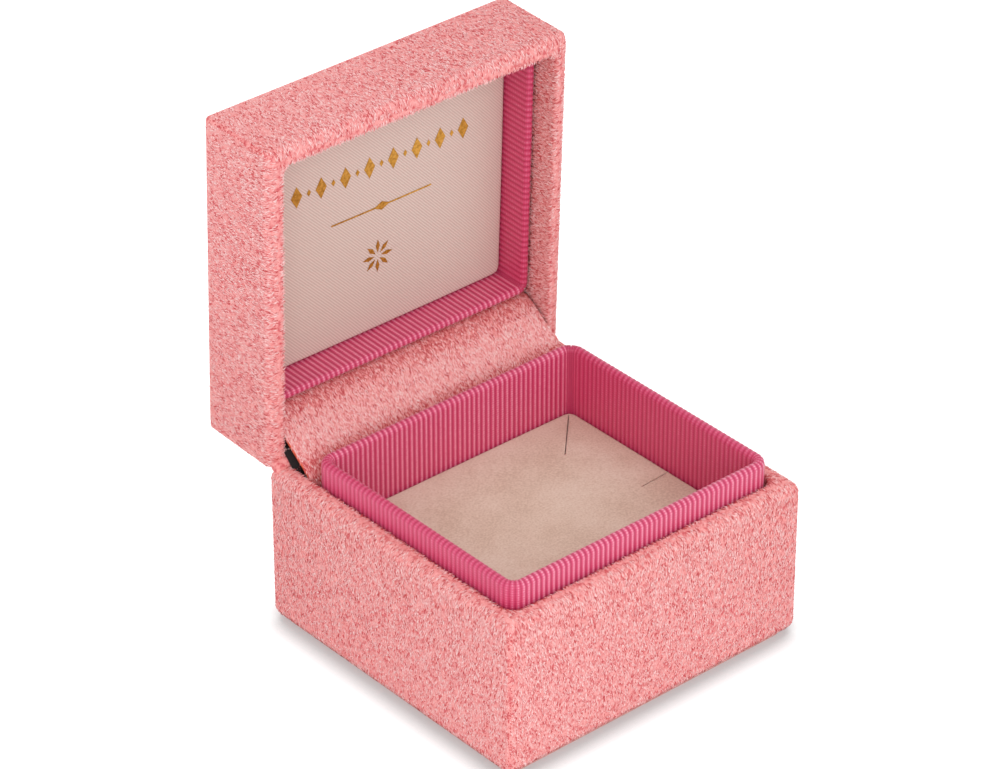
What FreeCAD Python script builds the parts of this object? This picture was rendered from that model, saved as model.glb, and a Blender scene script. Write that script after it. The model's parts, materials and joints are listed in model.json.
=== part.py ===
import FreeCAD, Part
import math
import os
import re

# A hinged presentation box, shown open. Millimetres, +Z up, the front faces -Y.
# The origin is the middle of the underside. The lid is drawn closed and then turned back about the hinge.

Vector = FreeCAD.Vector
doc = FreeCAD.newDocument("jewelry_box")

# Driving dimensions
SIZES = {
    "box_width": 65,
    "box_depth": 62,
    "base_height": 31,
    "lid_height": 18,
    "rim_gap": 0.3,
    "open_angle": 88,
    "pile_thick": 0.7,
    "board_thick": 1.7,
    "lining_thick": 0.6,
    "floor_thick": 2,
    "top_thick": 2,
    "board_relief": 0.6,
    "underlay_thick": 0.5,
    "underlay_inset": 1.5,
    "corner_round": 1,
    "edge_round": 2,
    "fold_round": 0.8,
    "hem_width": 7,
    "base_turn_in": 10,
    "lid_turn_in": 8,
    "base_mouth_round": 3.5,
    "lid_mouth_round": 1.5,
    "top_cover_inset": 0.6,
    "top_cover_round": 0.45,
    "collar_gap": 0.5,
    "collar_rise": 4.2,
    "collar_round": 3.2,
    "collar_inner_round": 1.6,
    "collar_card": 1,
    "collar_ribbon": 0.5,
    "collar_edge_round": 0.9,
    "hinge_space": 4.8,
    "well_depth": 12.9,
    "ribbon_tuck": 4,
    "pad_gap": 0.2,
    "pad_cloth": 0.6,
    "pad_crown": 0.4,
    "pad_foam": 8,
    "pad_board": 1.2,
    "riser_gap": 0.2,
    "slit_width": 0.4,
    "slit_depth": 4,
    "side_slit_length": 7,
    "side_slit_forward": 5,
    "corner_slit_length": 11,
    "corner_slit_inset": 2.4,
    "frame_gap": 0.3,
    "frame_space": 6,
    "frame_recess": 4.9,
    "frame_round": 1.2,
    "frame_card": 0.8,
    "frame_ribbon": 0.4,
    "frame_edge_round": 0.7,
    "frame_tuck": 2,
    "satin_thick": 0.4,
    "satin_crown": 0.8,
    "satin_gap": 0.1,
    "lid_foam": 2.2,
    "lid_pad_board": 1.2,
    "hinge_inset": 1,
    "hinge_margin": 3.5,
    "pin_radius": 0.4,
    "pin_clearance": 0.04,
    "barrel_radius": 0.8,
    "barrel_clearance": 0.15,
    "knuckle_gap": 0.2,
    "leaf_thick": 0.35,
    "leaf_length": 7.5,
    "rivet_radius": 0.6,
    "rivet_length": 1.4,
    "rivet_clearance": 0.05,
    "rivet_distance": 4.5,
    "cover_thick": 0.8,
    "cover_gap": 0.4,
    "cover_tail": 9,
    "cover_dip": 0.6,
    "cover_tuck": 6,
    "cover_bend": 3,
    "spring_thick": 0.25,
    "spring_gap": 0.05,
    "spring_margin": 4,
}

# How many knuckles the hinge has, and how many rivets hold each leaf
KNUCKLES = 5
RIVETS = 3

# Places worked out from the driving dimensions
PLACES = {
    "half_width": "box_width / 2",
    "half_depth": "box_depth / 2",
    "wall": "pile_thick + board_thick + lining_thick",
    "inner_x": "half_width - wall",
    "inner_y": "half_depth - wall",
    "board_x": "half_width - pile_thick",
    "board_y": "half_depth - pile_thick",
    "board_end": "board_x - board_relief",
    "hem_x": "half_width - hem_width",
    "hem_y": "half_depth - hem_width",
    "hem_top": "underlay_thick + pile_thick",
    "floor_top": "hem_top + floor_thick",
    "rim_board": "base_height - pile_thick",
    "base_turn": "base_height - base_turn_in",
    "collar_wall": "collar_card + 2 * collar_ribbon",
    "collar_x": "inner_x - collar_gap",
    "collar_front": "collar_gap - inner_y",
    "collar_rear": "inner_y - hinge_space",
    "collar_top": "base_height + collar_rise",
    "well_x": "collar_x - collar_wall",
    "well_front": "collar_front + collar_wall",
    "well_rear": "collar_rear - collar_wall",
    "pad_x": "well_x - pad_gap",
    "pad_front": "well_front + pad_gap",
    "pad_rear": "well_rear - pad_gap",
    "pad_top": "collar_top - well_depth",
    "foam_bottom": "pad_top - pad_cloth - pad_foam",
    "riser_top": "foam_bottom - pad_board",
    "riser_x": "well_x + collar_ribbon - riser_gap",
    "riser_front": "well_front - collar_ribbon + riser_gap",
    "riser_rear": "well_rear + collar_ribbon - riser_gap",
    "ribbon_bottom": "pad_top - ribbon_tuck",
    "lid_rim": "base_height + rim_gap",
    "lid_top": "lid_rim + lid_height",
    "cover_under": "lid_top - pile_thick",
    "lid_hem": "cover_under - pile_thick",
    "ceiling": "lid_hem - top_thick",
    "lid_rim_board": "lid_rim + pile_thick",
    "lid_turn": "lid_rim + lid_turn_in",
    "frame_wall": "frame_card + 2 * frame_ribbon",
    "frame_x": "inner_x - frame_gap",
    "frame_front": "frame_gap - inner_y",
    "frame_rear": "inner_y - frame_space",
    "frame_edge": "lid_rim + frame_recess",
    "hollow_x": "frame_x - frame_wall",
    "hollow_front": "frame_front + frame_wall",
    "hollow_rear": "frame_rear - frame_wall",
    "satin_x": "hollow_x - satin_gap",
    "satin_front": "hollow_front + satin_gap",
    "satin_rear": "hollow_rear - satin_gap",
    "lid_pad_under": "ceiling - lid_pad_board",
    "satin_face": "lid_pad_under - lid_foam - satin_thick",
    "axis_y": "half_depth - hinge_inset",
    "axis_z": "base_height + rim_gap / 2",
    "hinge_x": "inner_x - hinge_margin",
    "barrel_room": "barrel_radius + barrel_clearance",
    "leaf_y": "board_y - leaf_thick",
    "leaf_near": "axis_z - barrel_room",
    "leaf_far": "axis_z - leaf_length",
    "lid_leaf_near": "axis_z + barrel_room",
    "lid_leaf_far": "axis_z + leaf_length",
    "rivet_level": "axis_z - rivet_distance",
    "lid_rivet_level": "axis_z + rivet_distance",
}


# The sheets that hold both lists

def make_sheet(name, cells):
    sheet = doc.addObject("Spreadsheet::Sheet", name)
    for row, (alias, content) in enumerate(cells.items(), 1):
        sheet.set("A%d" % row, alias)
        sheet.set("B%d" % row, str(content))
        sheet.setAlias("B%d" % row, alias)
    return sheet


def formula(text):
    """A cell of the sheet of places: words of the first sheet get its name."""
    return "=" + re.sub(r"[a-z_]+", lambda word: own_sheet(word.group(), ""), text)


def own_sheet(word, other):
    return ("Sizes." if word in SIZES else other) + word


def sized(text):
    """An expression of a feature: every word is a cell of one of the sheets."""
    return re.sub(r"[a-z_]+", lambda word: own_sheet(word.group(), "Places."), text)


sizes_sheet = make_sheet("Sizes", SIZES)
places_sheet = make_sheet("Places", {name: formula(text) for name, text in PLACES.items()})
doc.recompute()


def value(name):
    sheet = sizes_sheet if name in SIZES else places_sheet
    return float(sheet.get(name))


# Bodies and their features

pieces = []
lid_pieces = []


def keep(piece, lid=False):
    """A finished sub-part: its label is its file's name."""
    pieces.append(piece)
    if lid:
        lid_pieces.append(piece)
    return piece


def new_body(label, lid=False):
    body = doc.addObject("PartDesign::Body", label)
    if lid:
        lid_pieces.append(body)
    return body


def block(body, kind, name, x, y, z):
    """A box of a body, each side given as a pair of expressions."""
    box = body.newObject("PartDesign::%sBox" % kind, name)
    for size, axis, (low, high) in (("Length", "x", x), ("Width", "y", y), ("Height", "z", z)):
        box.setExpression(size, sized("(%s) - (%s)" % (high, low)))
        box.setExpression("Placement.Base." + axis, sized(low))
    return box


ALONG_X = FreeCAD.Rotation(Vector(0, 1, 0), 90)
ALONG_Y = FreeCAD.Rotation(Vector(1, 0, 0), -90)


def rod(body, kind, name, radius, turn, start, length):
    """A cylinder of a body, its start given as three expressions."""
    cylinder = body.newObject("PartDesign::%sCylinder" % kind, name)
    cylinder.setExpression("Radius", sized(radius))
    cylinder.setExpression("Height", sized(length))
    cylinder.Placement = FreeCAD.Placement(Vector(), turn)
    for axis, place in zip("xyz", start):
        cylinder.setExpression("Placement.Base." + axis, sized(place))
    return cylinder


def round_edges(body, name, feature, wanted, radius):
    """A fillet on the edges whose bounding box is wanted."""
    doc.recompute()
    names = ["Edge%d" % number for number, edge in enumerate(feature.Shape.Edges, 1) if wanted(edge.BoundBox)]
    fillet = body.newObject("PartDesign::Fillet", name)
    fillet.Base = (feature, names)
    fillet.setExpression("Radius", sized(radius))
    return fillet


NEAR = 1e-4


def upright(box):
    return box.ZLength > box.XLength + box.YLength


def level(height):
    return lambda box: abs(box.ZMin - height) < NEAR and abs(box.ZMax - height) < NEAR


def plate(label, x, y, z, lid=False):
    """A plain rectangular piece."""
    body = new_body(label, lid)
    block(body, "Additive", label + "_blank", x, y, z)
    return body


def front_of_mouth(box):
    """The upright edges at the two front corners of a covering's mouth."""
    across = abs(abs(box.XMin) - value("inner_x")) < NEAR
    return upright(box) and across and abs(box.YMin + value("inner_y")) < NEAR


FULL_X = ("-board_x", "board_x")
FULL_Y = ("-board_y", "board_y")
ENDS_X = ("-board_end", "board_end")
SIDES_Y = ("board_thick - board_y", "board_y - board_thick")


def wall_ranges(low, high):
    """Where the four wall boards of the base or the lid stand."""
    return {
        "front": (ENDS_X, ("-board_y", "board_thick - board_y"), (low, high)),
        "rear": (ENDS_X, ("board_y - board_thick", "board_y"), (low, high)),
        "left": (("-board_x", "board_thick - board_x"), SIDES_Y, (low, high)),
        "right": (("board_x - board_thick", "board_x"), SIDES_Y, (low, high)),
    }


def barrel_groove(body):
    """Room for the hinge's barrel along a rear rim."""
    start = ("-hinge_x - knuckle_gap", "axis_y", "axis_z")
    rod(body, "Subtractive", body.Name + "_groove", "barrel_room", ALONG_X, start, "2 * (hinge_x + knuckle_gap)")


def rivet_places():
    """Expressions for the rivets' distances from the middle, evenly spread along the leaf."""
    return ["hinge_x * %s" % round(2 * (number + 0.5) / RIVETS - 1, 6) for number in range(RIVETS)]


def rivet_holes(body, height):
    """Holes for the rivets, in from the outer face of a rear board."""
    depth = "rivet_length + rivet_clearance"
    for number, place in enumerate(rivet_places()):
        start = (place, "board_y - (%s)" % depth, height)
        name = "%s_hole_%d" % (body.Name, number)
        rod(body, "Subtractive", name, "rivet_radius + rivet_clearance", ALONG_Y, start, depth)


# The base's boards

BASE_WALLS = wall_ranges("floor_top", "rim_board")
keep(plate("base_floor_board", FULL_X, FULL_Y, ("hem_top", "floor_top")))
for side in ("front", "left", "right"):
    keep(plate("base_%s_board" % side, *BASE_WALLS[side]))

# The rear board has a rebate for the hinge leaf
base_rear = plate("base_rear_board", *BASE_WALLS["rear"])
LEAF_X = ("-hinge_x", "hinge_x")
LEAF_Y = ("leaf_y", "board_y")
block(base_rear, "Subtractive", "base_rebate", LEAF_X, LEAF_Y, ("leaf_far", "rim_board"))
rivet_holes(base_rear, "rivet_level")
barrel_groove(base_rear)
keep(base_rear)

# The sheet under the box
SHEET_X = ("underlay_inset - half_width", "half_width - underlay_inset")
SHEET_Y = ("underlay_inset - half_depth", "half_depth - underlay_inset")
underlay = plate("base_underlay", SHEET_X, SHEET_Y, ("0", "underlay_thick"))
round_edges(underlay, "underlay_corners", underlay.Tip, upright, "edge_round")
keep(underlay)

# The pile cloth over the base: it turns in over the rim and under the floor
base_wrap = new_body("base_wrap")
OUTER_X = ("-half_width", "half_width")
OUTER_Y = ("-half_depth", "half_depth")
INNER_X = ("-inner_x", "inner_x")
INNER_Y = ("-inner_y", "inner_y")
HEM_X = ("-hem_x", "hem_x")
HEM_Y = ("-hem_y", "hem_y")
blank = block(base_wrap, "Additive", "base_wrap_blank", OUTER_X, OUTER_Y, ("underlay_thick", "base_height"))
blank = round_edges(base_wrap, "base_wrap_corners", blank, upright, "corner_round")
blank = round_edges(base_wrap, "base_wrap_rim", blank, level(value("base_height")), "edge_round")
round_edges(base_wrap, "base_wrap_fold", blank, level(value("underlay_thick")), "fold_round")
block(base_wrap, "Subtractive", "base_wrap_room", FULL_X, FULL_Y, ("hem_top", "base_turn"))
mouth = block(base_wrap, "Subtractive", "base_wrap_mouth", INNER_X, INNER_Y, ("base_turn", "base_height"))
round_edges(base_wrap, "base_wrap_mouth_round", mouth, front_of_mouth, "base_mouth_round")
block(base_wrap, "Subtractive", "base_wrap_hem", HEM_X, HEM_Y, ("underlay_thick", "hem_top"))
for side, (x, y, z) in wall_ranges("base_turn", "rim_board").items():
    block(base_wrap, "Subtractive", "base_wrap_%s" % side, x, y, z)
barrel_groove(base_wrap)
keep(base_wrap)


# The collar and the lid's frame: four cards and the ribbon folded over them

def card_ring(prefix, x, front, rear, ribbon, card, low, high, corner, lid=False):
    """Four cards with butt joints, rounded at the ring's corners."""
    outer = new_body(prefix + "_outline", lid)
    span_x = ("%s - %s" % (ribbon, x), "%s - %s" % (x, ribbon))
    span_y = ("%s + %s" % (front, ribbon), "%s - %s" % (rear, ribbon))
    blank = block(outer, "Additive", prefix + "_outline_blank", span_x, span_y, (low, high))
    round_edges(outer, prefix + "_outline_round", blank, upright, "%s - %s" % (corner, ribbon))
    between_x = ("%s + %s" % (span_x[0], card), "%s - %s" % (span_x[1], card))
    places = {
        "front": (between_x, (span_y[0], "%s + %s" % (span_y[0], card))),
        "rear": (between_x, ("%s - %s" % (span_y[1], card), span_y[1])),
        "left": ((span_x[0], between_x[0]), span_y),
        "right": ((between_x[1], span_x[1]), span_y),
    }
    cards = []
    for side, (side_x, side_y) in places.items():
        strip = plate("%s_%s_strip" % (prefix, side), side_x, side_y, (low, high), lid)
        card_piece = doc.addObject("Part::Common", "%s_%s_card" % (prefix, side))
        card_piece.Base = outer
        card_piece.Tool = strip
        cards.append(keep(card_piece))
    return cards


def fold_ribbon(label, blank, cards):
    """The ribbon is what the cards leave of its blank."""
    core = doc.addObject("Part::MultiFuse", label + "_core")
    core.Shapes = cards
    ribbon = doc.addObject("Part::Cut", label)
    ribbon.Base = blank
    ribbon.Tool = core
    return keep(ribbon)


COLLAR_TOP_CARD = "collar_top - collar_ribbon"
collar_cards = card_ring("collar", "collar_x", "collar_front", "collar_rear", "collar_ribbon", "collar_card",
                         "floor_top", COLLAR_TOP_CARD, "collar_round")
collar_blank = new_body("collar_ribbon_blank")
COLLAR_Z = ("ribbon_bottom", "collar_top")
ring = block(collar_blank, "Additive", "collar_ring", ("-collar_x", "collar_x"), ("collar_front", "collar_rear"),
             COLLAR_Z)
round_edges(collar_blank, "collar_ring_round", ring, upright, "collar_round")
well = block(collar_blank, "Subtractive", "collar_well", ("-well_x", "well_x"), ("well_front", "well_rear"), COLLAR_Z)


def in_well(box):
    return upright(box) and abs(box.XMin) < value("well_x") + NEAR and box.YMax < value("well_rear") + NEAR


well = round_edges(collar_blank, "collar_well_round", well, in_well, "collar_inner_round")
round_edges(collar_blank, "collar_edge_round", well, level(value("collar_top")), "collar_edge_round")
fold_ribbon("collar_ribbon", collar_blank, collar_cards)

# The riser and the board that carry the pad
RISER_X = ("-riser_x", "riser_x")
RISER_Y = ("riser_front", "riser_rear")
keep(plate("pad_riser", RISER_X, RISER_Y, ("floor_top", "riser_top")))
keep(plate("pad_board", RISER_X, RISER_Y, ("riser_top", "foam_bottom")))


# Pads: a crowned block, lofted across the box through three arched sections

def arched_section(x, front, rear, under, edge, crown):
    corners = [Vector(x, front, under), Vector(x, front, edge), Vector(x, rear, edge), Vector(x, rear, under)]
    peak = Vector(x, (front + rear) / 2, edge + crown)
    arch = Part.Arc(corners[1], peak, corners[2]).toShape()
    sides = [Part.makeLine(corners[0], corners[1]), arch]
    sides += [Part.makeLine(corners[2], corners[3]), Part.makeLine(corners[3], corners[0])]
    return Part.Wire(sides)


# The crown that is left at the pad's left and right ends, as a share of the whole
END_CROWN = 0.2


def crowned_block(x, front, rear, under, edge, crown):
    sections = [(-x, crown * END_CROWN), (0, crown), (x, crown * END_CROWN)]
    wires = [arched_section(place, front, rear, under, edge, rise) for place, rise in sections]
    return Part.makeLoft(wires, True)


def soft_piece(label, shape, lid=False):
    piece = doc.addObject("Part::Feature", label)
    piece.Shape = shape
    return keep(piece, lid)


def slit(start, heading, length):
    """A narrow cut into the pad, from a point on its top."""
    width = value("slit_width")
    depth = value("slit_depth")
    cut = Part.makeBox(length, width, depth + value("pad_crown"), Vector(0, -width / 2, -depth))
    cut.rotate(Vector(), Vector(0, 0, 1), heading)
    cut.translate(Vector(start[0], start[1], value("pad_top")))
    return cut


def pad_slits():
    """One from each side, and one from each rear corner towards the middle."""
    corner_x = value("pad_x") - value("corner_slit_inset")
    corner_y = value("pad_rear") - value("corner_slit_inset")
    side_x = value("pad_x") - value("pad_cloth")
    side = value("side_slit_length")
    diagonal = value("corner_slit_length")
    return [
        slit((-side_x, -value("side_slit_forward")), 0, side),
        slit((side_x, -value("side_slit_forward")), 180, side),
        slit((-corner_x, corner_y), -45, diagonal),
        slit((corner_x, corner_y), -135, diagonal),
    ]


def pad_block(skin):
    """The pad's outline, or what lies inside a skin of it, with the well's round corners."""
    solid = crowned_block(value("pad_x") - skin, value("pad_front") + skin, value("pad_rear") - skin,
                          value("foam_bottom"), value("pad_top") - skin, value("pad_crown"))
    corners = [edge for edge in solid.Edges if upright(edge.BoundBox)]
    return solid.makeFillet(value("collar_inner_round") - skin, corners)


pad_foam = pad_block(value("pad_cloth"))
soft_piece("pad_cloth", pad_block(0).cut(pad_foam).cut(pad_slits()))
soft_piece("pad_foam", pad_foam.cut(pad_slits()))

# The lid's boards, drawn closed
LID_WALLS = wall_ranges("lid_rim_board", "ceiling")
keep(plate("lid_top_board", FULL_X, FULL_Y, ("ceiling", "lid_hem"), lid=True))
for side in ("front", "left", "right"):
    keep(plate("lid_%s_board" % side, *LID_WALLS[side], lid=True))
lid_rear = plate("lid_rear_board", *LID_WALLS["rear"], lid=True)
block(lid_rear, "Subtractive", "lid_rebate", LEAF_X, LEAF_Y, ("lid_rim_board", "lid_leaf_far"))
rivet_holes(lid_rear, "lid_rivet_level")
barrel_groove(lid_rear)
keep(lid_rear)

# The pile cloth over the lid, and the panel on its top
lid_wrap = new_body("lid_wrap", lid=True)
blank = block(lid_wrap, "Additive", "lid_wrap_blank", OUTER_X, OUTER_Y, ("lid_rim", "cover_under"))
blank = round_edges(lid_wrap, "lid_wrap_corners", blank, upright, "corner_round")
blank = round_edges(lid_wrap, "lid_wrap_rim", blank, level(value("lid_rim")), "edge_round")
round_edges(lid_wrap, "lid_wrap_fold", blank, level(value("cover_under")), "fold_round")
block(lid_wrap, "Subtractive", "lid_wrap_room", FULL_X, FULL_Y, ("lid_turn", "lid_hem"))
mouth = block(lid_wrap, "Subtractive", "lid_wrap_mouth", INNER_X, INNER_Y, ("lid_rim", "lid_turn"))
round_edges(lid_wrap, "lid_wrap_mouth_round", mouth, front_of_mouth, "lid_mouth_round")
block(lid_wrap, "Subtractive", "lid_wrap_hem", HEM_X, HEM_Y, ("lid_hem", "cover_under"))
for side, (x, y, z) in wall_ranges("lid_rim_board", "lid_turn").items():
    block(lid_wrap, "Subtractive", "lid_wrap_%s" % side, x, y, z)
barrel_groove(lid_wrap)
keep(lid_wrap)

COVER_X = ("top_cover_inset - half_width", "half_width - top_cover_inset")
COVER_Y = ("top_cover_inset - half_depth", "half_depth - top_cover_inset")
top_cover = plate("lid_top_cover", COVER_X, COVER_Y, ("cover_under", "lid_top"), lid=True)
blank = round_edges(top_cover, "top_cover_corners", top_cover.Tip, upright, "corner_round")
round_edges(top_cover, "top_cover_edge", blank, level(value("lid_top")), "top_cover_round")
keep(top_cover)

# The lid's frame
frame_cards = card_ring("lid_frame", "frame_x", "frame_front", "frame_rear", "frame_ribbon", "frame_card",
                        "frame_edge + frame_ribbon", "ceiling", "frame_round", lid=True)
frame_blank = new_body("lid_frame_ribbon_blank", lid=True)
FRAME_Z = ("frame_edge", "satin_face + frame_tuck")
ring = block(frame_blank, "Additive", "frame_ring", ("-frame_x", "frame_x"), ("frame_front", "frame_rear"), FRAME_Z)
round_edges(frame_blank, "frame_ring_round", ring, upright, "frame_round")
hollow = block(frame_blank, "Subtractive", "frame_hollow", ("-hollow_x", "hollow_x"),
               ("hollow_front", "hollow_rear"), FRAME_Z)
round_edges(frame_blank, "frame_edge_round", hollow, level(value("frame_edge")), "frame_edge_round")
fold_ribbon("lid_frame_ribbon", frame_blank, frame_cards)

# The satin pad in the lid: its crown faces the rim
LID_PAD_X = ("satin_thick - satin_x", "satin_x - satin_thick")
LID_PAD_Y = ("satin_front + satin_thick", "satin_rear - satin_thick")
keep(plate("lid_pad_board", LID_PAD_X, LID_PAD_Y, ("lid_pad_under", "ceiling"), lid=True))


def satin_block(skin, under):
    return crowned_block(value("satin_x") - skin, value("satin_front") + skin, value("satin_rear") - skin,
                         value(under), value("satin_face") + skin, -value("satin_crown"))


satin = value("satin_thick")
soft_piece("lid_pad_satin", satin_block(0, "ceiling").cut(satin_block(satin, "ceiling")), lid=True)
soft_piece("lid_pad_foam", satin_block(satin, "lid_pad_under"), lid=True)

# The hinge: two leaves with knuckles in turn along one pin
STEP = "2 * hinge_x / %d" % KNUCKLES


def hinge_leaf(label, first, height, near, far, lid=False):
    """A leaf lying in its board's rebate, with every second knuckle."""
    leaf = new_body(label, lid)
    low, high = sorted((near, far), key=value)
    block(leaf, "Additive", label + "_plate", LEAF_X, LEAF_Y, (low, high))
    neck = ("axis_z", near) if lid else (near, "axis_z")
    for number in range(first, KNUCKLES, 2):
        start = "%d * %s - hinge_x + knuckle_gap / 2" % (number, STEP)
        length = "%s - knuckle_gap" % STEP
        span = (start, "%s + %s" % (start, length))
        block(leaf, "Additive", "%s_neck_%d" % (label, number), span, LEAF_Y, neck)
        rod(leaf, "Additive", "%s_knuckle_%d" % (label, number), "barrel_radius", ALONG_X,
            (start, "axis_y", "axis_z"), length)
    rod(leaf, "Subtractive", label + "_bore", "pin_radius + pin_clearance", ALONG_X,
        ("-hinge_x", "axis_y", "axis_z"), "2 * hinge_x")
    rivet_holes(leaf, height)
    return keep(leaf)


hinge_leaf("hinge_base_leaf", 0, "rivet_level", "leaf_near", "leaf_far")
hinge_leaf("hinge_lid_leaf", 1, "lid_rivet_level", "lid_leaf_near", "lid_leaf_far", lid=True)

hinge_pin = new_body("hinge_pin")
rod(hinge_pin, "Additive", "hinge_pin_rod", "pin_radius", ALONG_X, ("-hinge_x", "axis_y", "axis_z"), "2 * hinge_x")
keep(hinge_pin)


def rivet_row(label, height, lid=False):
    """The rivets of one leaf, flush with its board's outer face."""
    rivets = []
    for number, place in enumerate(rivet_places()):
        rivet = new_body("%s_%d" % (label, number), lid)
        start = (place, "board_y - rivet_length", height)
        rod(rivet, "Additive", rivet.Name + "_rod", "rivet_radius", ALONG_Y, start, "rivet_length")
        rivets.append(rivet)
    row = doc.addObject("Part::Compound", label)
    row.Links = rivets
    keep(row)


rivet_row("hinge_base_rivets", "rivet_level")
rivet_row("hinge_lid_rivets", "lid_rivet_level", lid=True)

# The strip across the hinge: it comes up behind the collar, slopes back and goes in behind the lid's frame
lid_open = FreeCAD.Placement(Vector(), FreeCAD.Rotation(Vector(1, 0, 0), -value("open_angle")),
                             Vector(0, value("axis_y"), value("axis_z")))


def strip_route():
    """The four corner points of the strip's showing face."""
    tail_y = value("collar_rear") + value("cover_gap")
    tuck_y = value("frame_rear") + value("cover_gap")
    rim_z = value("base_height")
    edge = value("frame_edge")
    return [
        Vector(0, tail_y, rim_z - value("cover_tail")),
        Vector(0, tail_y, rim_z - value("cover_dip")),
        lid_open.multVec(Vector(0, tuck_y, edge)),
        lid_open.multVec(Vector(0, tuck_y, edge + value("cover_tuck"))),
    ]


def deeper_route(points, depth):
    """The same route a depth in from the showing face, mitred at its corners."""
    headings = [(after - before).normalize() for before, after in zip(points, points[1:])]
    inward = [Vector(0, heading.z, -heading.y) for heading in headings]
    moved = [points[0] + inward[0] * depth]
    for corner, first, second in zip(points[1:], inward, inward[1:]):
        mitre = (first + second).normalize()
        moved.append(corner + mitre * (depth / mitre.dot(first)))
    return moved + [points[-1] + inward[-1] * depth]


def rounded_route(points, radius):
    """Straight runs joined by arcs."""
    edges = []
    start = points[0]
    for before, corner, after in zip(points, points[1:], points[2:]):
        back = (before - corner).normalize()
        ahead = (after - corner).normalize()
        half = back.getAngle(ahead) / 2
        leg = radius / math.tan(half)
        centre = corner + (back + ahead).normalize() * (radius / math.sin(half))
        middle = centre + (corner - centre).normalize() * radius
        edges.append(Part.makeLine(start, corner + back * leg))
        edges.append(Part.Arc(corner + back * leg, middle, corner + ahead * leg).toShape())
        start = corner + ahead * leg
    edges.append(Part.makeLine(start, points[-1]))
    return Part.Wire(edges)


def strip(label, depth, thick, half_width):
    """A band of even thickness along the route, its middle a depth in from the showing face."""
    points = deeper_route(strip_route(), depth)
    x, y, z = -half_width, points[0].y - thick / 2, points[0].z
    corners = [(x, y), (x, y + thick), (-x, y + thick), (-x, y), (x, y)]
    section = Part.makePolygon([Vector(across, along, z) for across, along in corners])
    route = rounded_route(points, value("cover_bend") - depth)
    return soft_piece(label, route.makePipeShell([section], True, False))


spring_depth = value("cover_thick") + value("spring_gap") + value("spring_thick") / 2
spring_half = value("collar_x") - value("spring_margin")
strip("hinge_cover", value("cover_thick") / 2, value("cover_thick"), value("collar_x"))
strip("hinge_spring_strip", spring_depth, value("spring_thick"), spring_half)

# The lid turned back about the hinge
for piece in lid_pieces:
    piece.Placement = lid_open.multiply(piece.Placement)

# Every feature is sound, and every piece is closed, before anything is written
doc.recompute()
for item in doc.Objects:
    if "Invalid" in item.State or "Error" in item.State:
        raise RuntimeError("%s failed: %s" % (item.Name, item.State))
for piece in pieces:
    if piece.Shape.isNull() or not piece.Shape.isValid() or not piece.Shape.Solids:
        raise RuntimeError("%s has no sound shape" % piece.Label)

os.makedirs("parts", exist_ok=True)
for piece in pieces:
    piece.Shape.exportStep(os.path.join("parts", piece.Label + ".step"))
    box = piece.Shape.BoundBox
    print("%-22s %d solid(s) %9.1f mm3  %6.1f %6.1f %6.1f to %6.1f %6.1f %6.1f" % (
        piece.Label, len(piece.Shape.Solids), piece.Shape.Volume, box.XMin, box.YMin, box.ZMin, box.XMax, box.YMax,
        box.ZMax))
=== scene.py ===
import json
import math

import bmesh
import bpy
import numpy as np
from mathutils import Matrix, Vector


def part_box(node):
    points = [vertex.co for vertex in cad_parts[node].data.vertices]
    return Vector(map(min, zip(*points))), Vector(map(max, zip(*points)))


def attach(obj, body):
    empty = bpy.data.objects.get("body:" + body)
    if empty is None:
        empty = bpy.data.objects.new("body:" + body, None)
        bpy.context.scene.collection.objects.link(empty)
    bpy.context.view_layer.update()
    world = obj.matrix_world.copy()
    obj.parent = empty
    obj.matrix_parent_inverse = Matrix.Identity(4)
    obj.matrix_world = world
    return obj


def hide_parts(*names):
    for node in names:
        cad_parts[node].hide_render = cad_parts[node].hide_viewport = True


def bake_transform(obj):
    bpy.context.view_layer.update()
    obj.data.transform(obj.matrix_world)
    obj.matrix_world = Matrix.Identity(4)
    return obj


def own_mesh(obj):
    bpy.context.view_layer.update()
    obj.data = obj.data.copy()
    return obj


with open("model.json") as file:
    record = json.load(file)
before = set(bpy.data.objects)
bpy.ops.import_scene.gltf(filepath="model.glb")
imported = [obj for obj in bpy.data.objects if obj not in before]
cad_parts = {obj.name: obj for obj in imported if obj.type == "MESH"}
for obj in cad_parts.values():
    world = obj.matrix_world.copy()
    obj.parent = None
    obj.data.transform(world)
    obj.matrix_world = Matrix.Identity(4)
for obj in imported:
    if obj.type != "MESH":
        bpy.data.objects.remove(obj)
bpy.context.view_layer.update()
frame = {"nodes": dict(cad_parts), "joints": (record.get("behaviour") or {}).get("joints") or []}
scene = bpy.context.scene
MM = 0.001

# The camera
# A long lens, above the front left corner of the open box, where the photograph was taken from.
SWING = math.radians(-40.88)
RISE = math.radians(32.44)
AIM = Vector((0, 0, 26 * MM))
FRAMING = Vector((-5.8 * MM, 19.3 * MM, 767 * MM))
towards = Vector((math.sin(SWING) * math.cos(RISE), -math.cos(SWING) * math.cos(RISE), math.sin(RISE)))
camera = bpy.data.objects.new("camera", bpy.data.cameras.new("camera"))
camera.data.lens = 163.4
camera.rotation_mode = "QUATERNION"
camera.rotation_quaternion = towards.to_track_quat("Z", "Y")
camera.location = AIM + camera.rotation_quaternion @ FRAMING
scene.collection.objects.link(camera)
scene.camera = camera
scene.view_settings.view_transform = "Standard"


# The floor and the light
# A white studio sweep with even light from all round, and one large soft lamp from the front left.
# The floor's own white fades out close to the box, where the light from all round can't reach.

def linear(hex_colour):
    """An sRGB hex colour as linear red, green, blue and a full alpha."""
    parts = [int(hex_colour[start:start + 2], 16) / 255 for start in (1, 3, 5)]
    return [c / 12.92 if c <= 0.04045 else ((c + 0.055) / 1.055) ** 2.4 for c in parts] + [1]


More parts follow.
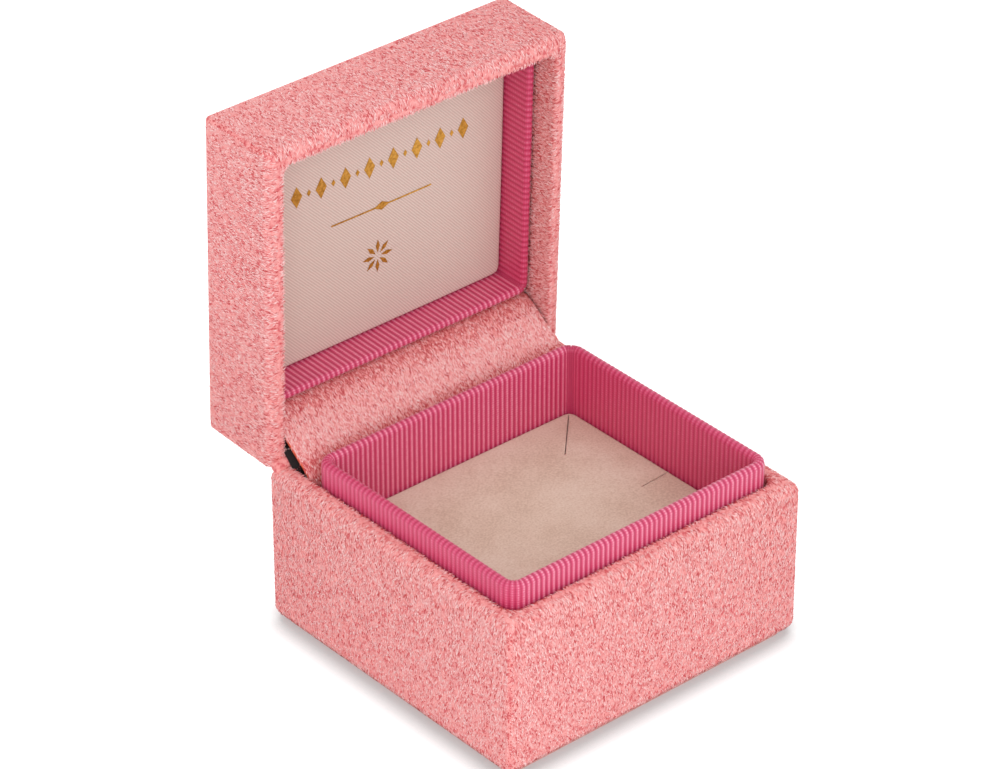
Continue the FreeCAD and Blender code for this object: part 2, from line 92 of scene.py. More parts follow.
def node(tree, kind, links=None, stops=(), **settings):
    """A new node with its settings, its sockets set or linked by name or number, and a ramp's stops."""
    made = tree.nodes.new(kind)
    for name, setting in settings.items():
        setattr(made, name, setting)
    for name, source in (links or {}).items():
        if isinstance(source, bpy.types.NodeSocket):
            tree.links.new(source, made.inputs[name])
        else:
            made.inputs[name].default_value = source
    for number, (at, colour) in enumerate(stops):
        if number == len(made.color_ramp.elements):
            made.color_ramp.elements.new(1)
        made.color_ramp.elements[number].position = at
        made.color_ramp.elements[number].color = linear(colour)
    return made


def seen_directly(tree):
    """1 for rays from the camera, off a glossy surface or through a clear one, and 0 for the rest."""
    path = node(tree, "ShaderNodeLightPath")
    either = node(tree, "ShaderNodeMath", operation="MAXIMUM",
                  links={0: path.outputs["Is Camera Ray"], 1: path.outputs["Is Glossy Ray"]})
    any_of_them = node(tree, "ShaderNodeMath", operation="MAXIMUM",
                       links={0: either.outputs[0], 1: path.outputs["Is Transmission Ray"]})
    return any_of_them.outputs[0]


SKY = 0.96
scene.world = bpy.data.worlds.new("studio")
scene.world.use_nodes = True
world = scene.world.node_tree
level = node(world, "ShaderNodeMapRange", {"Value": seen_directly(world), "To Min": SKY, "To Max": 1})
world.links.new(level.outputs[0], world.nodes["Background"].inputs["Strength"])
world.nodes["Background"].inputs["Color"].default_value = (1, 1, 1, 1)

FLOOR_GLOW = 1.0
SHADED_GLOW = 0.3
CONTACT_SHADE = 6.0
FLOOR_HALF = 4.0
FLOOR_DROP = 0.02
bm = bmesh.new()
bmesh.ops.create_grid(bm, x_segments=1, y_segments=1, size=FLOOR_HALF)
bmesh.ops.translate(bm, verts=bm.verts, vec=(0, 0, -FLOOR_DROP * MM))
floor_mesh = bpy.data.meshes.new("floor")
bm.to_mesh(floor_mesh)
bm.free()
floor = bpy.data.objects.new("floor", floor_mesh)
scene.collection.objects.link(floor)

sweep = bpy.data.materials.new("white studio sweep")
sweep.use_nodes = True
tree = sweep.node_tree
seen = seen_directly(tree)
grey = node(tree, "ShaderNodeValToRGB", {0: seen}, stops=[(0.0, "#F2F2F2"), (1.0, "#A0A0A0")])
paint = node(tree, "ShaderNodeBsdfDiffuse", {"Color": grey.outputs[0]})
openness = node(tree, "ShaderNodeAmbientOcclusion", {"Distance": CONTACT_SHADE * MM})
fade = node(tree, "ShaderNodeMapRange", {"Value": openness.outputs["AO"], "From Min": 0.5,
                                         "To Min": SHADED_GLOW, "To Max": FLOOR_GLOW})
glow = node(tree, "ShaderNodeMath", {0: seen, 1: fade.outputs[0]}, operation="MULTIPLY")
white = node(tree, "ShaderNodeEmission", {"Strength": glow.outputs[0]})
both = node(tree, "ShaderNodeAddShader", {0: paint.outputs[0], 1: white.outputs[0]})
tree.links.new(both.outputs[0], tree.nodes["Material Output"].inputs["Surface"])
tree.nodes.remove(tree.nodes["Principled BSDF"])
floor_mesh.materials.append(sweep)

lamp = bpy.data.objects.new("soft_lamp", bpy.data.lights.new("soft_lamp", "AREA"))
lamp.data.shape = "DISK"
lamp.data.size = 0.7
lamp.data.energy = 2.7
lamp.location = (-0.5, -0.78, 0.5)
lamp.rotation_mode = "QUATERNION"
lamp.rotation_quaternion = (lamp.location - AIM).to_track_quat("Z", "Y")
scene.collection.objects.link(lamp)


# The boards
# Grey board cut to size, with butt joints at the corners, and a sheet of paper under the box.
# The covering hides all of the board.

def new_material(name, roughness, **numbers):
    """A material with its shader's plain numbers set, its tree, its shader and the piece's coordinates."""
    made = bpy.data.materials.new(name)
    made.use_nodes = True
    tree = made.node_tree
    shader = tree.nodes["Principled BSDF"]
    shader.inputs["Roughness"].default_value = roughness
    for socket, number in numbers.items():
        shader.inputs[socket.replace("_", " ")].default_value = number
    return made, tree, shader, node(tree, "ShaderNodeTexCoord").outputs["Object"]


def finish_nodes(names, material):
    """Gives CAD nodes a material in place of their plain one."""
    for name in names:
        for slot in frame["nodes"][name].material_slots:
            slot.material = material


# Recycled paper pulp: dull, with specks of lighter and darker fibre about half a millimetre long.
FIBRE_SPECK = 0.6
greyboard, tree, shader, place = new_material("greyboard", 0.95)
specks = node(tree, "ShaderNodeTexNoise", {"Vector": place, "Scale": 1 / (FIBRE_SPECK * MM), "Detail": 4})
colour = node(tree, "ShaderNodeValToRGB", {0: specks.outputs[0]},
              stops=[(0.3, "#7D7972"), (0.5, "#8F8B85"), (0.7, "#A7A39B")])
tree.links.new(colour.outputs[0], shader.inputs["Base Color"])
SIDES = ("front", "rear", "left", "right")
finish_nodes(["base_%s_board" % side for side in SIDES] + ["base_floor_board"], greyboard)
finish_nodes(["lid_%s_board" % side for side in SIDES] + ["lid_top_board"], greyboard)

# Uncoated paper: faintly mottled, in the covering's colour.
PAPER_MOTTLE = 1.1
base_paper, tree, shader, place = new_material("uncoated pink paper", 0.9)
mottle = node(tree, "ShaderNodeTexNoise", {"Vector": place, "Scale": 1 / (PAPER_MOTTLE * MM), "Detail": 5})
colour = node(tree, "ShaderNodeValToRGB", {0: mottle.outputs[0]},
              stops=[(0.35, "#D1978F"), (0.65, "#DEA9A3")])
tree.links.new(colour.outputs[0], shader.inputs["Base Color"])
finish_nodes(["base_underlay"], base_paper)


# The hinge
# Two thin steel leaves with knuckles on one pin, riveted to the rear boards under the covering.

# Nickel plate over rolled steel: a grey gleam, with fine uneven lines a quarter of a millimetre apart.
ROLLING_LINES = 0.25
hinge_steel, tree, shader, place = new_material("nickel plated steel", 0.3, Metallic=1)
lines = node(tree, "ShaderNodeTexNoise", {"Vector": place, "Scale": 1 / (ROLLING_LINES * MM), "Detail": 2})
colour = node(tree, "ShaderNodeValToRGB", {0: lines.outputs[0]}, stops=[(0.3, "#9A9A9C"), (0.7, "#B9B9BB")])
tree.links.new(colour.outputs[0], shader.inputs["Base Color"])
finish_nodes(["hinge_base_leaf", "hinge_lid_leaf", "hinge_pin"], hinge_steel)
finish_nodes(["hinge_base_rivets", "hinge_lid_rivets"], hinge_steel)


# The base's covering
# Pink short-pile cloth, cut as a strip, glued round the boards and folded over the rim and under the floor.
# The ground of the cloth is a thin sheet, and its pile lies on it as fine bent strands in small tufts.
HALF_X = 32.5
HALF_Y = 31.0
WALL = 3.0
CORNER_ROUND = 0.7
RIM_ROUND = 2.0
INNER_ROUND = 0.4
HEM = 7.0
PILE_HEIGHT = 0.1
CLOTH_THICKNESS = 0.45


def outline(x, front, rear, radius, rear_radius=None, steps=(1, 1, 6)):
    """Points in order round a rectangle with rounded corners, from its front right corner.

    The steps are those along x, along y and round a corner.
    """
    rear_radius = rear_radius or radius
    along_x, along_y, round_corner = steps
    corners = [(x, front, 1, 1, radius), (x, rear, 1, -1, rear_radius),
               (-x, rear, -1, -1, rear_radius), (-x, front, -1, 1, radius)]
    arcs = []
    for number, (corner_x, corner_y, side_x, side_y, bend) in enumerate(corners):
        middle = Vector((corner_x - side_x * bend, corner_y + side_y * bend))
        angles = [math.radians(90 * (number - 1 + step / round_corner)) for step in range(round_corner + 1)]
        arcs.append([middle + bend * Vector((math.cos(a), math.sin(a))) for a in angles])
    points = []
    for number, corner in enumerate(arcs):
        following = arcs[(number + 1) % 4][0]
        straight = along_x if number % 2 else along_y
        points += corner[:-1] + [corner[-1].lerp(following, step / straight) for step in range(straight)]
    return points


def in_fixed_order(bm):
    """Sorts edges and faces by their points' numbers, because extruding orders them anew in each run."""
    bm.verts.index_update()
    count = len(bm.verts)

    def key(part):
        numbers = [vert.index for vert in part.verts]
        return max(numbers) * count + min(numbers)

    bm.edges.sort(key=key)
    bm.faces.sort(key=key)


def sleeve(bm, rings):
    """A wall through closed rings of points in millimetres: the first is drawn, the next are extruded."""
    loop = [bm.verts.new(Vector(point) * MM) for point in rings[0]]
    edges = [bm.edges.new(pair) for pair in zip(loop, loop[1:] + loop[:1])]
    for points in rings[1:]:
        grown = bmesh.ops.extrude_edge_only(bm, edges=edges)["geom"]
        new = {part for part in grown if isinstance(part, bmesh.types.BMVert)}
        loop = [next(e.other_vert(v) for e in v.link_edges if e.other_vert(v) in new) for v in loop]
        edges = [e for e in grown if isinstance(e, bmesh.types.BMEdge) and new.issuperset(e.verts)]
        for vert, point in zip(loop, points):
            vert.co = Vector(point) * MM
    in_fixed_order(bm)
    bmesh.ops.recalc_face_normals(bm, faces=bm.faces)
    return loop


def arc(middle, radius, start, end, steps):
    """Points on a part of a circle, by degrees."""
    angles = [math.radians(start + (end - start) * step / steps) for step in range(steps + 1)]
    return [(middle[0] + radius * math.cos(a), middle[1] + radius * math.sin(a)) for a in angles]


def piece(bm, name, material):
    """A smooth object from a bmesh, with one material."""
    mesh = bpy.data.meshes.new(name)
    bm.to_mesh(mesh)
    bm.free()
    mesh.materials.append(material)
    mesh.shade_smooth()
    made = bpy.data.objects.new(name, mesh)
    scene.collection.objects.link(made)
    return made


def covering_route(tall, turn_in, hem_round):
    """Distances in from the outer face and from the rim along a covering, from its hem to its inner edge."""
    foot = tall - PILE_HEIGHT
    inner = WALL - PILE_HEIGHT
    fold = arc((PILE_HEIGHT + hem_round, foot - hem_round), hem_round, 90, 180, 6)
    rim = arc((RIM_ROUND, RIM_ROUND), RIM_ROUND - PILE_HEIGHT, 180, 270, 6)
    inside = arc((inner - INNER_ROUND, PILE_HEIGHT + INNER_ROUND), INNER_ROUND, 270, 360, 3)
    return [(HEM, foot)] + fold + rim + inside + [(inner, turn_in)]


def covering(bm, rim, away, tall, turn_in, hem_round, mouth_round):
    """The ground of a covering: rings from its hem, over the wall and the rim, to its turned-in edge."""
    rings = []
    for inset, drop in covering_route(tall, turn_in, hem_round):
        share = min(inset / WALL, 1)
        front_round = CORNER_ROUND + (mouth_round - CORNER_ROUND) * share
        shape = outline(HALF_X - inset, inset - HALF_Y, HALF_Y - inset, front_round, CORNER_ROUND)
        rings.append([(*point, rim + away * drop) for point in shape])
    sleeve(bm, rings)


def glued_sheet(cloth, thickness=CLOTH_THICKNESS):
    """Thickens a cloth that is glued down, away from its face."""
    solid = cloth.modifiers.new("thickness", "SOLIDIFY")
    solid.thickness = thickness * MM
    solid.offset = -1
    return solid


def faces_of(cloth):
    """A mesh's triangles as corner points, and the normals at those corners."""
    mesh = cloth.data
    mesh.calc_loop_triangles()
    corners = np.empty(len(mesh.loop_triangles) * 3, int)
    mesh.loop_triangles.foreach_get("vertices", corners)
    places = np.empty(len(mesh.vertices) * 3)
    mesh.vertices.foreach_get("co", places)
    normals = np.empty(len(mesh.vertices) * 3)
    mesh.vertices.foreach_get("normal", normals)
    return places.reshape(-1, 3)[corners].reshape(-1, 3, 3), normals.reshape(-1, 3)[corners].reshape(-1, 3, 3)


def unit(vectors):
    """The vectors, each made one long."""
    return vectors / np.maximum(np.linalg.norm(vectors, axis=-1, keepdims=True), 1e-12)


# Brushed polyester pile: soft and dull. Light strands lie over darker red ones, which show as flecks.
# Tones run from 0, the darkest strand, to 1, the lightest.
STRANDS_PER_MM2 = 11
STRAND_LENGTH = 0.72
STRAND_LIFT = 0.1
STRAND_WIDTH = 0.15
STRAND_CURL = 0.14
TUFT = 0.42
TUFT_TONES = 4096
TUFT_MIX = np.array([73, 1931, 8349])
DARK_STRANDS = 0.16
SEAM = 0.5
SEAM_DARK = 0.78
pile, tree, shader, _ = new_material("brushed pink pile", 0.9, Specular_IOR_Level=0.1)
shade = node(tree, "ShaderNodeUVMap", uv_map="OFBake")
split = node(tree, "ShaderNodeSeparateXYZ", {0: shade.outputs[0]})
colour = node(tree, "ShaderNodeValToRGB", {0: split.outputs[0]},
              stops=[(0.0, "#C8464A"), (0.22, "#E27073"), (0.34, "#F29C9C"), (0.65, "#FDBFBE"),
                     (1.0, "#FFE8E6")])
# Each strand is painted darker towards its root: painted shade deep in the pile.
depth = node(tree, "ShaderNodeValToRGB", {0: split.outputs[1]}, stops=[(0.0, "#E8B4B4"), (0.5, "#FFFFFF")])
strand_colour = node(tree, "ShaderNodeMix", {0: 1.0, 6: colour.outputs[0], 7: depth.outputs[0]},
                     data_type="RGBA", blend_type="MULTIPLY")
tree.links.new(strand_colour.outputs[2], shader.inputs["Base Color"])


def from_corner(root):
    """How far points are from the nearest upright corner of the box."""
    return np.maximum(HALF_X - np.abs(root[:, 0]), HALF_Y - np.abs(root[:, 1]))


def darker_at_seams(root):
    """The share of dark strands: more along the upright corners, where the cloth is drawn tight."""
    return np.where(from_corner(root) < SEAM, SEAM_DARK, DARK_STRANDS)


def scattered(cloth, where, per_mm2, chance):
    """Points strewn evenly over a cloth, those that where() keeps, and the normals there."""
    corners, normals = faces_of(cloth)
    area = np.linalg.norm(np.cross(corners[:, 1] - corners[:, 0], corners[:, 2] - corners[:, 0]), axis=1) / 2
    count = int(area.sum() / MM ** 2 * per_mm2)
    chosen = chance.choice(len(area), count, p=area / area.sum())
    share = chance.dirichlet((1, 1, 1), count)[:, :, None]
    root = (corners[chosen] * share).sum(1)
    up = unit((normals[chosen] * share).sum(1))
    kept = where(root / MM)
    return root[kept], up[kept]


def strip_mesh(name, points, tone):
    """Strips of two faces on six points each. Their map holds the tone, and the way from root to tip."""
    count = len(points)
    strip = np.array([0, 1, 3, 2, 2, 3, 5, 4])
    mesh = bpy.data.meshes.new(name)
    mesh.from_pydata(points.reshape(-1, 3), [], (np.arange(count)[:, None] * 6 + strip).reshape(-1, 4))
    across = np.array([-1, 1, 1, -1, -1, 1, 1, -1]) * 0.01
    rising = np.array([0, 0, 1, 1, 1, 1, 2, 2]) * 0.48 + 0.02
    shade = np.stack([tone + across, np.broadcast_to(rising, (count, 8))], -1)
    mesh.uv_layers.new(name="OFBake").data.foreach_set("uv", shade.ravel())
    mesh.materials.append(pile)
    mesh.shade_smooth()
    return mesh


def strands(name, cloth, where, lay, seed, per_mm2=STRANDS_PER_MM2, length=STRAND_LENGTH, spread=0.25,
            dark_share=darker_at_seams):
    """Pile on a cloth: bent strips in tufts of like tone.

    where() picks the roots, lay() gives the way they are combed, and dark_share() how many are dark.
    """
    chance = np.random.default_rng(seed)
    root, up = scattered(cloth, where, per_mm2, chance)
    count = len(root)
    cell = np.floor(root / (TUFT * MM) + chance.normal(0, 0.3, (count, 3))).astype(int)
    # Each small cell of the cloth is a tuft, and takes its tone from a list by its mixed-up number
    tuft = chance.random(TUFT_TONES)[(cell @ TUFT_MIX) % TUFT_TONES][:, None]
    along = lay(root / MM)
    along = unit(along - up * (along * up).sum(1, keepdims=True))
    side = np.cross(up, along)
    turn = chance.normal(0, spread, (count, 1)) + (tuft - 0.5) * spread
    along, side = along * np.cos(turn) + side * np.sin(turn), side * np.cos(turn) - along * np.sin(turn)
    reach = length * MM * chance.uniform(0.6, 1.3, (count, 1))
    reach *= np.where(from_corner(root / MM) < 2 * SEAM, 0.5, 1.0)[:, None]
    rise = STRAND_LIFT * MM * chance.uniform(0.45, 1.0, (count, 1))
    curl = reach * chance.normal(0, STRAND_CURL, (count, 1))
    half = STRAND_WIDTH * MM * chance.uniform(0.35, 0.6, (count, 1)) * side
    narrow = half * 0.3
    middle = root + along * reach * 0.5 + up * rise + side * curl * 0.4
    tip = root + along * reach + up * rise * chance.uniform(-0.3, 0.5, (count, 1)) + side * curl
    points = np.stack([root - half, root + half, middle - half, middle + half, tip - narrow, tip + narrow], 1)
    light = 0.34 + 0.52 * chance.random((count, 1)) + 0.1 * tuft
    dark = chance.random((count, 1)) < dark_share(root / MM)[:, None]
    tone = np.where(dark, 0.02 + 0.3 * chance.random((count, 1)), light)
    made = bpy.data.objects.new(name, strip_mesh(name, points, tone))
    scene.collection.objects.link(made)
    return made


# Knitted polyester ground: dull and redder than the pile, because little light reaches it.
GROUND_FLECK = 0.8
pile_ground, tree, shader, place = new_material("knitted pile ground", 0.95, Specular_IOR_Level=0.1)
flecks = node(tree, "ShaderNodeTexNoise", {"Vector": place, "Scale": 1 / (GROUND_FLECK * MM), "Detail": 3})
colour = node(tree, "ShaderNodeValToRGB", {0: flecks.outputs[0]},
              stops=[(0.35, "#D76A6E"), (0.5, "#F09B99"), (0.65, "#F8ADAA")])
tree.links.new(colour.outputs[0], shader.inputs["Base Color"])


def outwards(root):
    """The way out of the box, square to the nearest wall."""
    sideways = np.abs(root[:, 0]) - HALF_X > np.abs(root[:, 1]) - HALF_Y
    out = np.zeros_like(root)
    out[sideways, 0] = np.sign(root[sideways, 0])
    out[~sideways, 1] = np.sign(root[~sideways, 1])
    return out


def inset_of(root):
    """How far in from the outer faces a point is."""
    return np.minimum(HALF_X - np.abs(root[:, 0]), HALF_Y - np.abs(root[:, 1]))


RIM_CREST = 1.9
COMB_LEAN = 0.8


def combed_over_rim(root, lean):
    """Out over a rim's outer edge, and in over its inner edge, leaning up or down."""
    over = np.where(inset_of(root) > RIM_CREST, -1.0, 1.0)[:, None]
    return outwards(root) * over + np.array([0, 0, lean])


def combed_down(root):
    """Down the walls of the base, on both sides of its rim."""
    return combed_over_rim(root, -COMB_LEAN)


BASE_RIM = 31.0
KNIT_ROW = 0.8
PARTED_WIDTH = 0.3
PARTED_DARK = 0.38
RIM_DARK = 0.06
# Dark strands along the collar's foot: the painted shadow of the collar.
COLLAR_FOOT_SHADE = 0.75
bm = bmesh.new()
covering(bm, BASE_RIM, -1, tall=30.5, turn_in=9.8, hem_round=2.0, mouth_round=3.5)
base_cloth = piece(bm, "base_cloth", pile_ground)
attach(base_cloth, "base")
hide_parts("base_wrap")
glued_sheet(base_cloth)


def base_wall(root):
    """The walls between the hem and the rim."""
    return (inset_of(root) < 1.7) & (root[:, 2] > 0.9) & (root[:, 2] < 29.3)


def front_or_rear(root):
    """The front and rear walls and rims, apart from the sides."""
    return np.abs(root[:, 1]) - HALF_Y > np.abs(root[:, 0]) - HALF_X


def darker_in_rows(root):
    """Where the cloth bends over a rim, its pile parts along the rows of the knit."""
    along = np.where(front_or_rear(root), root[:, 0], root[:, 1])
    return np.where(np.mod(along / KNIT_ROW, 1) < PARTED_WIDTH, PARTED_DARK, RIM_DARK)


def painted_shade_by_collar(root):
    """As on any rim, but the pile at the collar's foot is dark: the painted shadow of the collar."""
    return np.where(inset_of(root) > WALL - 0.6, COLLAR_FOOT_SHADE, darker_in_rows(root))


def base_ends(root):
    """The front and rear walls."""
    return base_wall(root) & front_or_rear(root)


def base_sides(root):
    """The left and right walls."""
    return base_wall(root) & ~front_or_rear(root)


def base_rim(root):
    """The rim and the turned-in strip by the collar."""
    return root[:, 2] >= 29.0


base_piles = [
    strands("base_pile_ends", base_cloth, base_ends, combed_down, seed=1),
    strands("base_pile_sides", base_cloth, base_sides, combed_down, seed=2),
    strands("base_rim_pile", base_cloth, base_rim, combed_down, seed=3, per_mm2=12,
            dark_share=painted_shade_by_collar),
]
for tufts in base_piles:
    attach(tufts, "base")


# The collar
# Four strips of card stand in the base. A ribbed ribbon is glued round them and folded over their top edge.

# Thin white-lined card: smooth and pale, with faint fibre marks.
card, tree, shader, place = new_material("white lined card", 0.8)
fibre = node(tree, "ShaderNodeTexNoise", {"Vector": place, "Scale": 1 / (FIBRE_SPECK * MM), "Detail": 4})
colour = node(tree, "ShaderNodeValToRGB", {0: fibre.outputs[0]}, stops=[(0.35, "#C7BFB4"), (0.65, "#D6CEC4")])
tree.links.new(colour.outputs[0], shader.inputs["Base Color"])
finish_nodes(["collar_%s_card" % side for side in SIDES], card)
finish_nodes(["lid_frame_%s_card" % side for side in SIDES], card)
finish_nodes(["pad_board", "lid_pad_board"], card)

# Woven polyester ribbon: raised ribs across it, deep magenta between them, a painted highlight on the crowns,
# in beads at the warp threads. The real threads are half as far apart, too fine to show in the render.
RIBBON_FIBRE = 0.22
THREAD_PITCH = 0.46
BEAD_HIGHLIGHT = 0.07
WEAR_TONE = 0.3
grosgrain, tree, shader, place = new_material("magenta ribbed ribbon", 0.4, Sheen_Weight=0.2,
                                              Sheen_Roughness=0.4)
rib = node(tree, "ShaderNodeAttribute", attribute_name="rib")
run = node(tree, "ShaderNodeAttribute", attribute_name="run")
turns = node(tree, "ShaderNodeMath", operation="MULTIPLY",
             links={0: run.outputs["Fac"], 1: math.tau / THREAD_PITCH})
beads = node(tree, "ShaderNodeMath", operation="SINE", links={0: turns.outputs[0]})
beaded = node(tree, "ShaderNodeMath", operation="MULTIPLY_ADD",
              links={0: beads.outputs[0], 1: BEAD_HIGHLIGHT, 2: rib.outputs["Fac"]})
fibre = node(tree, "ShaderNodeTexNoise", {"Vector": place, "Scale": 1 / (RIBBON_FIBRE * MM), "Detail": 2})
wear_and_highlight = node(tree, "ShaderNodeMath", operation="MULTIPLY_ADD",
            links={0: fibre.outputs[0], 1: WEAR_TONE, 2: beaded.outputs[0]})
# The pale top stops are the painted highlight on the crowns.
colour = node(tree, "ShaderNodeValToRGB", {0: wear_and_highlight.outputs[0]},
              stops=[(0.1, "#B32550"), (0.45, "#CC3864"), (0.7, "#D9537B"), (0.95, "#F5A5BC")])
tree.links.new(colour.outputs[0], shader.inputs["Base Color"])

RIB_HEIGHT = 0.1
RIB_SAMPLES = 6
CROWN_HIGHLIGHT = 0.72
JOIN_DEPTH = 0.35
CUT_EDGE = 0.2
SIDE_HIGHLIGHT_DIMMING = 0.22


def ribbon(bm, x, front, rear, radius, ribs, route):
    """A ribbed ribbon round a rounded rectangle, whose two ends meet in the rear right corner.

    The ribs are counted along x, along y and round a corner. The route is the ribbon's section:
    distance in, height, and how far a rib rises inwards and upwards there. The ribs' tone is a
    painted highlight, palest on the crowns and dimmer along the left and right sides, as if lit from the
    front.
    """
    steps = [count * RIB_SAMPLES for count in ribs]
    outer = outline(x, front, rear, radius, steps=steps)
    inner = outline(x - 1, front + 1, rear - 1, radius - 1, steps=steps)
    inward = np.array([b - a for a, b in zip(outer, inner)])
    phase = (np.arange(len(outer)) % RIB_SAMPLES) / RIB_SAMPLES
    relief = 1 - np.abs(2 * phase - 1) ** 1.6
    lift = RIB_HEIGHT * (relief - 1)
    join = steps[2] + steps[1] + steps[2] // 2
    for off in (-RIB_SAMPLES, 0, RIB_SAMPLES):
        lift[join + off] -= JOIN_DEPTH
        relief[join + off] = 0
    rings = []
    for inset, height, slope_in, slope_up in route:
        points = np.array(outer) + inward * (inset + lift * slope_in)[:, None]
        rings.append(np.column_stack([points, height + lift * slope_up]))
    sleeve(bm, rings)
    lengths = [math.dist(a[:2], b[:2]) for a, b in zip(route, route[1:])]
    travelled = np.cumsum([0] + lengths)
    tone = bm.verts.layers.float.new("rib")
    run = bm.verts.layers.float.new("run")
    bm.verts.index_update()
    for vert in bm.verts:
        ring, step = divmod(vert.index, len(relief))
        # Painted highlight: pale on the crown, dimmer on the walls that face left and right.
        vert[tone] = CROWN_HIGHLIGHT * relief[step] * (1 - SIDE_HIGHLIGHT_DIMMING * abs(inward[step][0]))
        vert[run] = travelled[ring]


def folded_over(wall, top, away, outer_end, inner_end):
    """A ribbon's section over the rounded edge of a wall: along its outside, over the edge and inside."""
    middle = wall / 2
    turn = []
    for angle in np.linspace(0, math.pi, 11):
        across, up = -math.cos(angle), math.sin(angle)
        turn.append((middle + middle * across, top + away * middle * (up - 1), across, away * up))
    outside = [(0, outer_end + away * step, -1, 0) for step in (0, CUT_EDGE)]
    inside = [(wall, inner_end + away * step, 1, 0) for step in (CUT_EDGE, 0)]
    return outside + turn + inside


COLLAR_WALL = 2.0
COLLAR_TOP = 35.2
bm = bmesh.new()
collar_route = folded_over(COLLAR_WALL, COLLAR_TOP, 1, outer_end=20.0, inner_end=18.5)
ribbon(bm, x=29.0, front=-27.5, rear=23.2, radius=3.2, ribs=(48, 41, 5), route=collar_route)
collar_ribbon = piece(bm, "collar_ribbon_cover", grosgrain)
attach(collar_ribbon, "base")
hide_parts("collar_ribbon")
RIBBON_THICKNESS = 0.12
glued_sheet(collar_ribbon,
            thickness=RIBBON_THICKNESS)


# The pad in the base
# A foam block on a board, covered in fine suede cloth, pushed into the collar. Slits in it hold jewelry.

# Open-cell foam: pale, full of pores a third of a millimetre wide.
FOAM_PORE = 0.33
foam, tree, shader, place = new_material("open cell foam", 0.95)
pores = node(tree, "ShaderNodeTexVoronoi", {"Vector": place, "Scale": 1 / (FOAM_PORE * MM)})
colour = node(tree, "ShaderNodeValToRGB", {0: pores.outputs["Distance"]},
              stops=[(0.1, "#C9C4BC"), (0.5, "#E6E2DC")])
tree.links.new(colour.outputs[0], shader.inputs["Base Color"])
RISER_ROUND = 0.6
low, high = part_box("pad_riser")
bm = bmesh.new()
bmesh.ops.create_cube(bm, size=1)
bmesh.ops.scale(bm, verts=bm.verts, vec=high - low)
bmesh.ops.translate(bm, verts=bm.verts, vec=(low + high) / 2)
bmesh.ops.bevel(bm, geom=bm.edges, offset=RISER_ROUND * MM, affect="EDGES", segments=3, profile=0.5,
                material=-1)
riser = piece(bm, "foam_riser", foam)
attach(riser, "base")
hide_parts("pad_riser")

# Microfibre suede: matt and beige, with faint clouds where the nap lies two ways and a very fine grain.
NAP_CLOUD = 9.0
NAP_GRAIN = 0.35
suede, tree, shader, place = new_material("beige suede cloth", 0.95, Specular_IOR_Level=0.15,
                                          Sheen_Weight=0.15, Sheen_Roughness=0.6)
nap = node(tree, "ShaderNodeTexNoise", {"Vector": place, "Scale": 1 / (NAP_CLOUD * MM), "Detail": 2})
grain = node(tree, "ShaderNodeTexNoise", {"Vector": place, "Scale": 1 / (NAP_GRAIN * MM), "Detail": 3})
mixed = node(tree, "ShaderNodeMix", {0: 0.6, 2: nap.outputs[0], 3: grain.outputs[0]})
colour = node(tree, "ShaderNodeValToRGB", {0: mixed.outputs[0]},
              stops=[(0.36, "#CCB09C"), (0.5, "#DBC2AF"), (0.64, "#E4CFBE")])
tree.links.new(colour.outputs[0], shader.inputs["Base Color"])
bumps = node(tree, "ShaderNodeBump", {"Height": grain.outputs[0], "Strength": 0.4, "Distance": 0.1 * MM})
tree.links.new(bumps.outputs[0], shader.inputs["Normal"])

PAD_ROLL = 0.8


def corner_pull(x, y, half_x, half_y, radius):
    """Where a point of a rectangle moves so that its corners become round, and the way out there."""
    over_x = max(abs(x) - half_x + radius, 0)
    over_y = max(abs(y) - half_y + radius, 0)
    spread = math.hypot(over_x, over_y)
    if not spread:
        return Vector((x, y)), Vector((0, 0))
    outward = Vector((math.copysign(over_x, x), math.copysign(over_y, y))) / spread
    inner = Vector((math.copysign(abs(x) - over_x, x), math.copysign(abs(y) - over_y, y)))
    return inner + outward * max(over_x, over_y), outward


def crowned(x, y, half_x, half_y, crown):
    """How far a pad stands up at a point, from nothing at its edges."""
    across = max(1 - (x / half_x) ** 2, 0)
    along = max(1 - (y / half_y) ** 2, 0)
    return crown * math.sqrt(across * along)


def pad_form(bm, half_x, half_y, middle_y, radius, face, back, crown):
    """A closed pad: a crowned grid whose edge is rolled over and drawn back, from face to back."""
    away = math.copysign(1, face - back)
    bmesh.ops.create_grid(bm, x_segments=72, y_segments=64, size=1)
    flat_x = half_x - PAD_ROLL
    flat_y = half_y - PAD_ROLL
    for vert in bm.verts:
        spot, _ = corner_pull(vert.co.x * flat_x, vert.co.y * flat_y, flat_x, flat_y, radius - PAD_ROLL)
        rise = crowned(spot.x, spot.y, half_x, half_y, crown)
        vert.co = Vector((spot.x, spot.y + middle_y, face + away * rise)) * MM
    edges = [e for e in bm.edges if e.is_boundary]
    angles = [math.radians(18 * step) for step in range(1, 6)]
    steps = [(PAD_ROLL * (math.sin(b) - math.sin(a)), PAD_ROLL * (math.cos(a) - math.cos(b)))
             for a, b in zip([0] + angles, angles)]
    steps.append((0, abs(face - back) - PAD_ROLL))
    for out, drop in steps:
        grown = bmesh.ops.extrude_edge_only(bm, edges=edges)["geom"]
        new = {part for part in grown if isinstance(part, bmesh.types.BMVert)}
        edges = [e for e in grown if isinstance(e, bmesh.types.BMEdge) and new.issuperset(e.verts)]
        for vert in new:
            x, y = vert.co.x / MM, vert.co.y / MM - middle_y
            _, heading = corner_pull(x, y, flat_x, flat_y, radius - PAD_ROLL)
            vert.co += Vector((heading.x * out, heading.y * out, -away * drop)) * MM
    bmesh.ops.holes_fill(bm, edges=edges)
    in_fixed_order(bm)
    bmesh.ops.recalc_face_normals(bm, faces=bm.faces)


